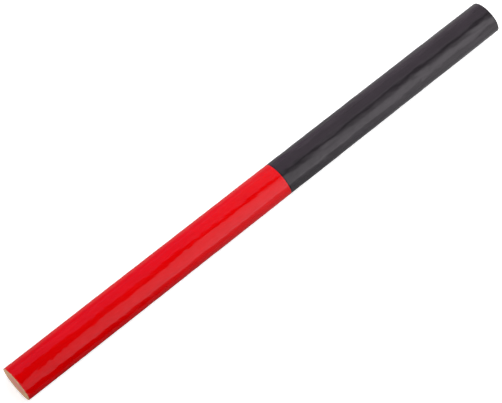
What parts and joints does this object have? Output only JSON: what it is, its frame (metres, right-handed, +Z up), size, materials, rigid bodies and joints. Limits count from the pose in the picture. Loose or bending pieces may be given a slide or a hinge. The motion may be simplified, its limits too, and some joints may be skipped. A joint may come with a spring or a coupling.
{
  "type": "carpenter pencil",
  "caption": "Unsharpened two-colour carpenter's pencil: an oval wooden body with a flat red lead in its red half and a flat graphite lead in its black half.",
  "frame": {"origin": "middle of the pencil, on its centre line", "axes": "+X along the pencil from the red end to the black end, Y across the broad side, +Z up through the thickness, with the pencil lying on its broad side"},
  "size_m": [0.18, 0.011, 0.0072],
  "materials": {
    "slat_wood": "bare sawn end grain",
    "red_marking_lead": "waxy, dusted with wood by the saw",
    "graphite": "dark grey with a faint metallic sheen",
    "wood_glue": "cured, translucent amber",
    "red_lacquer": "gloss",
    "black_lacquer": "satin gloss"
  },
  "bodies": {
    "root": {"upper_slat": "slat_wood", "lower_slat": "slat_wood", "red_lead": "red_marking_lead", "graphite_lead": "graphite", "left_glue_line": "wood_glue", "right_glue_line": "wood_glue", "red_lacquer": "red_lacquer", "black_lacquer": "black_lacquer"}
  },
  "joints": []
}
